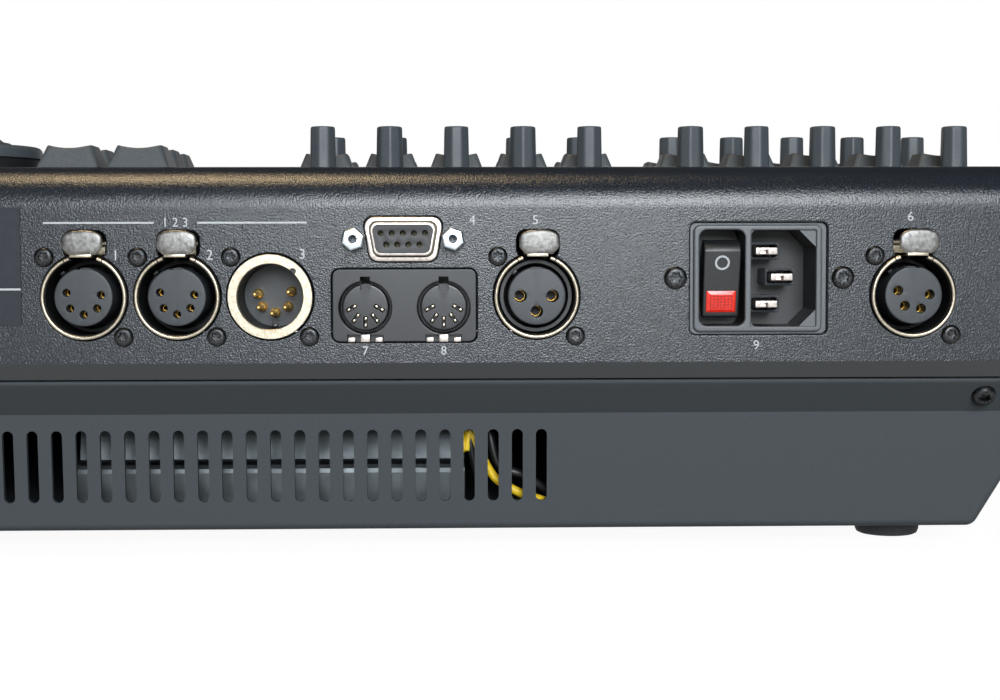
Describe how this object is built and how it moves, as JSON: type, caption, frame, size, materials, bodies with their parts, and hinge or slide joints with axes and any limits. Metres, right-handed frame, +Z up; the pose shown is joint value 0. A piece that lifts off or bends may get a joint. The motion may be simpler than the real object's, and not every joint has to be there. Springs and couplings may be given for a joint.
{
  "type": "lighting fader wing",
  "caption": "Desk-top lighting control wing: slim steel case with fader columns, rotary knobs, keys and a dual encoder on top, and round, D-shaped and mains sockets in its rear face.",
  "frame": {"origin": "on the table under the middle of the unit, half way between its outermost points in width and depth", "axes": "+Z up; +Y from the operator towards the rear face with the sockets; +X to the operator's right"},
  "size_m": [0.454, 0.2944, 0.1122],
  "materials": {
    "case_enamel": "dark slate textured powder coat on folded steel",
    "panel_enamel": "satin slate enamel on a flat plate",
    "pan_enamel": "smooth matt grey paint on folded sheet",
    "foot_rubber": "matt black rubber",
    "socket_nickel": "satin nickel plate on die castings and pressed shells",
    "black_plastic": "black glass-filled nylon, slight sheen",
    "knob_plastic": "charcoal moulded plastic with a lighter index line",
    "key_rubber": "bluish grey silicone rubber, satin",
    "cap_plastic": "grey moulded plastic with a light centre line",
    "bank_zinc": "zinc plated sheet steel",
    "board_green": "green solder mask on glass laminate",
    "earth_sleeve": "yellow sleeve with a green stripe, soft vinyl"
  },
  "bodies": {
    "case": {"upper_case": "case_enamel", "control_panel": "panel_enamel", "base_housing": "pan_enamel", "foot_front_left": "foot_rubber", "foot_front_right": "foot_rubber", "foot_rear_left": "foot_rubber", "foot_rear_right": "foot_rubber", "out_socket_1": "socket_nickel", "out_socket_2": "socket_nickel", "timecode_socket": "socket_nickel", "lamp_socket": "socket_nickel", "in_socket": "socket_nickel", "remote_socket": "socket_nickel", "din_sockets": "black_plastic", "mains_inlet": "black_plastic", "fader_bank": "bank_zinc", "main_board": "board_green", "power_supply": "bank_zinc", "earth_wire": "earth_sleeve"},
    "mains_rocker": {"mains_rocker": "black_plastic"},
    "out_latch_1": {"out_latch_1": "socket_nickel"},
    "out_latch_2": {"out_latch_2": "socket_nickel"},
    "timecode_latch": {"timecode_latch": "socket_nickel"},
    "lamp_latch": {"lamp_latch": "socket_nickel"},
    "rear_key_row": {"rear_key_row": "key_rubber"},
    "front_key_row": {"front_key_row": "key_rubber"},
    "flash_key_row": {"flash_key_row": "key_rubber"},
    "command_keys": {"command_keys": "key_rubber"},
    "fader_cap_01": {"fader_cap_01": "cap_plastic"},
    "fader_cap_02": {"fader_cap_02": "cap_plastic"},
    "fader_cap_03": {"fader_cap_03": "cap_plastic"},
    "fader_cap_04": {"fader_cap_04": "cap_plastic"},
    "fader_cap_05": {"fader_cap_05": "cap_plastic"},
    "fader_cap_06": {"fader_cap_06": "cap_plastic"},
    "fader_cap_07": {"fader_cap_07": "cap_plastic"},
    "fader_cap_08": {"fader_cap_08": "cap_plastic"},
    "fader_cap_09": {"fader_cap_09": "cap_plastic"},
    "fader_cap_10": {"fader_cap_10": "cap_plastic"},
    "encoder_dial": {"encoder_dial": "knob_plastic"},
    "encoder_knob": {"encoder_knob": "knob_plastic"},
    "rear_knob_01": {"rear_knob_01": "knob_plastic"},
    "rear_knob_02": {"rear_knob_02": "knob_plastic"},
    "rear_knob_03": {"rear_knob_03": "knob_plastic"},
    "rear_knob_04": {"rear_knob_04": "knob_plastic"},
    "rear_knob_05": {"rear_knob_05": "knob_plastic"},
    "rear_knob_06": {"rear_knob_06": "knob_plastic"},
    "rear_knob_07": {"rear_knob_07": "knob_plastic"},
    "rear_knob_08": {"rear_knob_08": "knob_plastic"},
    "rear_knob_09": {"rear_knob_09": "knob_plastic"},
    "rear_knob_10": {"rear_knob_10": "knob_plastic"},
    "front_knob_01": {"front_knob_01": "knob_plastic"},
    "front_knob_02": {"front_knob_02": "knob_plastic"},
    "front_knob_03": {"front_knob_03": "knob_plastic"},
    "front_knob_04": {"front_knob_04": "knob_plastic"},
    "front_knob_05": {"front_knob_05": "knob_plastic"},
    "front_knob_06": {"front_knob_06": "knob_plastic"},
    "front_knob_07": {"front_knob_07": "knob_plastic"},
    "front_knob_08": {"front_knob_08": "knob_plastic"},
    "front_knob_09": {"front_knob_09": "knob_plastic"},
    "front_knob_10": {"front_knob_10": "knob_plastic"}
  },
  "joints": [
    {"name": "rocker_switch", "type": "hinge", "parent": "case", "child": "mains_rocker", "pos_m": [-0.1338, 0.13925, 0.0704], "axis": [1, 0, 0], "range_deg": [0, 24]},
    {"name": "out_latch_1_press", "type": "hinge", "parent": "case", "child": "out_latch_1", "pos_m": [0.0273, 0.13075, 0.0796], "axis": [-1, 0, 0], "range_deg": [0, 5], "stiffness_Nm_per_rad": 0.02, "springref_deg": -8.59},
    {"name": "out_latch_2_press", "type": "hinge", "parent": "case", "child": "out_latch_2", "pos_m": [0.004, 0.13075, 0.0796], "axis": [-1, 0, 0], "range_deg": [0, 5], "stiffness_Nm_per_rad": 0.02, "springref_deg": -8.59},
    {"name": "timecode_latch_press", "type": "hinge", "parent": "case", "child": "timecode_latch", "pos_m": [-0.0864, 0.13075, 0.0796], "axis": [-1, 0, 0], "range_deg": [0, 5], "stiffness_Nm_per_rad": 0.02, "springref_deg": -8.59},
    {"name": "lamp_latch_press", "type": "hinge", "parent": "case", "child": "lamp_latch", "pos_m": [-0.1821, 0.13075, 0.0796], "axis": [-1, 0, 0], "range_deg": [0, 5], "stiffness_Nm_per_rad": 0.02, "springref_deg": -8.59},
    {"name": "rear_key_row_press", "type": "slide", "parent": "case", "child": "rear_key_row", "axis": [0, 0, -1], "range_m": [0, 0.002], "stiffness_N_per_m": 600, "springref_m": -0.002},
    {"name": "front_key_row_press", "type": "slide", "parent": "case", "child": "front_key_row", "axis": [0, 0, -1], "range_m": [0, 0.002], "stiffness_N_per_m": 600, "springref_m": -0.002},
    {"name": "flash_key_row_press", "type": "slide", "parent": "case", "child": "flash_key_row", "axis": [0, 0, -1], "range_m": [0, 0.002], "stiffness_N_per_m": 600, "springref_m": -0.002},
    {"name": "command_keys_press", "type": "slide", "parent": "case", "child": "command_keys", "axis": [0, 0, -1], "range_m": [0, 0.002], "stiffness_N_per_m": 1500, "springref_m": -0.002},
    {"name": "fader_cap_01_slide", "type": "slide", "parent": "case", "child": "fader_cap_01", "axis": [0, 1, 0], "range_m": [0, 0.06]},
    {"name": "fader_cap_02_slide", "type": "slide", "parent": "case", "child": "fader_cap_02", "axis": [0, 1, 0], "range_m": [0, 0.06]},
    {"name": "fader_cap_03_slide", "type": "slide", "parent": "case", "child": "fader_cap_03", "axis": [0, 1, 0], "range_m": [0, 0.06]},
    {"name": "fader_cap_04_slide", "type": "slide", "parent": "case", "child": "fader_cap_04", "axis": [0, 1, 0], "range_m": [0, 0.06]},
    {"name": "fader_cap_05_slide", "type": "slide", "parent": "case", "child": "fader_cap_05", "axis": [0, 1, 0], "range_m": [0, 0.06]},
    {"name": "fader_cap_06_slide", "type": "slide", "parent": "case", "child": "fader_cap_06", "axis": [0, 1, 0], "range_m": [0, 0.06]},
    {"name": "fader_cap_07_slide", "type": "slide", "parent": "case", "child": "fader_cap_07", "axis": [0, 1, 0], "range_m": [0, 0.06]},
    {"name": "fader_cap_08_slide", "type": "slide", "parent": "case", "child": "fader_cap_08", "axis": [0, 1, 0], "range_m": [0, 0.06]},
    {"name": "fader_cap_09_slide", "type": "slide", "parent": "case", "child": "fader_cap_09", "axis": [0, 1, 0], "range_m": [0, 0.06]},
    {"name": "fader_cap_10_slide", "type": "slide", "parent": "case", "child": "fader_cap_10", "axis": [0, 1, 0], "range_m": [0, 0.06]},
    {"name": "encoder_dial_turn", "type": "hinge", "parent": "case", "child": "encoder_dial", "pos_m": [0.0708, 0.09275, 0.0988], "axis": [0, 0, 1], "continuous": true},
    {"name": "encoder_knob_turn", "type": "hinge", "parent": "case", "child": "encoder_knob", "pos_m": [0.0708, 0.09275, 0.0988], "axis": [0, 0, 1], "continuous": true},
    {"name": "rear_knob_01_turn", "type": "hinge", "parent": "case", "child": "rear_knob_01", "pos_m": [-0.2053, 0.09855, 0.0988], "axis": [0, 0, 1], "continuous": true},
    {"name": "rear_knob_02_turn", "type": "hinge", "parent": "case", "child": "rear_knob_02", "pos_m": [-0.18682, 0.09855, 0.0988], "axis": [0, 0, 1], "continuous": true},
    {"name": "rear_knob_03_turn", "type": "hinge", "parent": "case", "child": "rear_knob_03", "pos_m": [-0.16834, 0.09855, 0.0988], "axis": [0, 0, 1], "continuous": true},
    {"name": "rear_knob_04_turn", "type": "hinge", "parent": "case", "child": "rear_knob_04", "pos_m": [-0.14986, 0.09855, 0.0988], "axis": [0, 0, 1], "continuous": true},
    {"name": "rear_knob_05_turn", "type": "hinge", "parent": "case", "child": "rear_knob_05", "pos_m": [-0.13138, 0.09855, 0.0988], "axis": [0, 0, 1], "continuous": true},
    {"name": "rear_knob_06_turn", "type": "hinge", "parent": "case", "child": "rear_knob_06", "pos_m": [-0.10318, 0.09855, 0.0988], "axis": [0, 0, 1], "continuous": true},
    {"name": "rear_knob_07_turn", "type": "hinge", "parent": "case", "child": "rear_knob_07", "pos_m": [-0.0847, 0.09855, 0.0988], "axis": [0, 0, 1], "continuous": true},
    {"name": "rear_knob_08_turn", "type": "hinge", "parent": "case", "child": "rear_knob_08", "pos_m": [-0.06622, 0.09855, 0.0988], "axis": [0, 0, 1], "continuous": true},
    {"name": "rear_knob_09_turn", "type": "hinge", "parent": "case", "child": "rear_knob_09", "pos_m": [-0.04774, 0.09855, 0.0988], "axis": [0, 0, 1], "continuous": true},
    {"name": "rear_knob_10_turn", "type": "hinge", "parent": "case", "child": "rear_knob_10", "pos_m": [-0.02926, 0.09855, 0.0988], "axis": [0, 0, 1], "continuous": true},
    {"name": "front_knob_01_turn", "type": "hinge", "parent": "case", "child": "front_knob_01", "pos_m": [-0.2053, 0.05575, 0.0988], "axis": [0, 0, 1], "continuous": true},
    {"name": "front_knob_02_turn", "type": "hinge", "parent": "case", "child": "front_knob_02", "pos_m": [-0.18682, 0.05575, 0.0988], "axis": [0, 0, 1], "continuous": true},
    {"name": "front_knob_03_turn", "type": "hinge", "parent": "case", "child": "front_knob_03", "pos_m": [-0.16834, 0.05575, 0.0988], "axis": [0, 0, 1], "continuous": true},
    {"name": "front_knob_04_turn", "type": "hinge", "parent": "case", "child": "front_knob_04", "pos_m": [-0.14986, 0.05575, 0.0988], "axis": [0, 0, 1], "continuous": true},
    {"name": "front_knob_05_turn", "type": "hinge", "parent": "case", "child": "front_knob_05", "pos_m": [-0.13138, 0.05575, 0.0988], "axis": [0, 0, 1], "continuous": true},
    {"name": "front_knob_06_turn", "type": "hinge", "parent": "case", "child": "front_knob_06", "pos_m": [-0.10318, 0.05575, 0.0988], "axis": [0, 0, 1], "continuous": true},
    {"name": "front_knob_07_turn", "type": "hinge", "parent": "case", "child": "front_knob_07", "pos_m": [-0.0847, 0.05575, 0.0988], "axis": [0, 0, 1], "continuous": true},
    {"name": "front_knob_08_turn", "type": "hinge", "parent": "case", "child": "front_knob_08", "pos_m": [-0.06622, 0.05575, 0.0988], "axis": [0, 0, 1], "continuous": true},
    {"name": "front_knob_09_turn", "type": "hinge", "parent": "case", "child": "front_knob_09", "pos_m": [-0.04774, 0.05575, 0.0988], "axis": [0, 0, 1], "continuous": true},
    {"name": "front_knob_10_turn", "type": "hinge", "parent": "case", "child": "front_knob_10", "pos_m": [-0.02926, 0.05575, 0.0988], "axis": [0, 0, 1], "continuous": true}
  ]
}
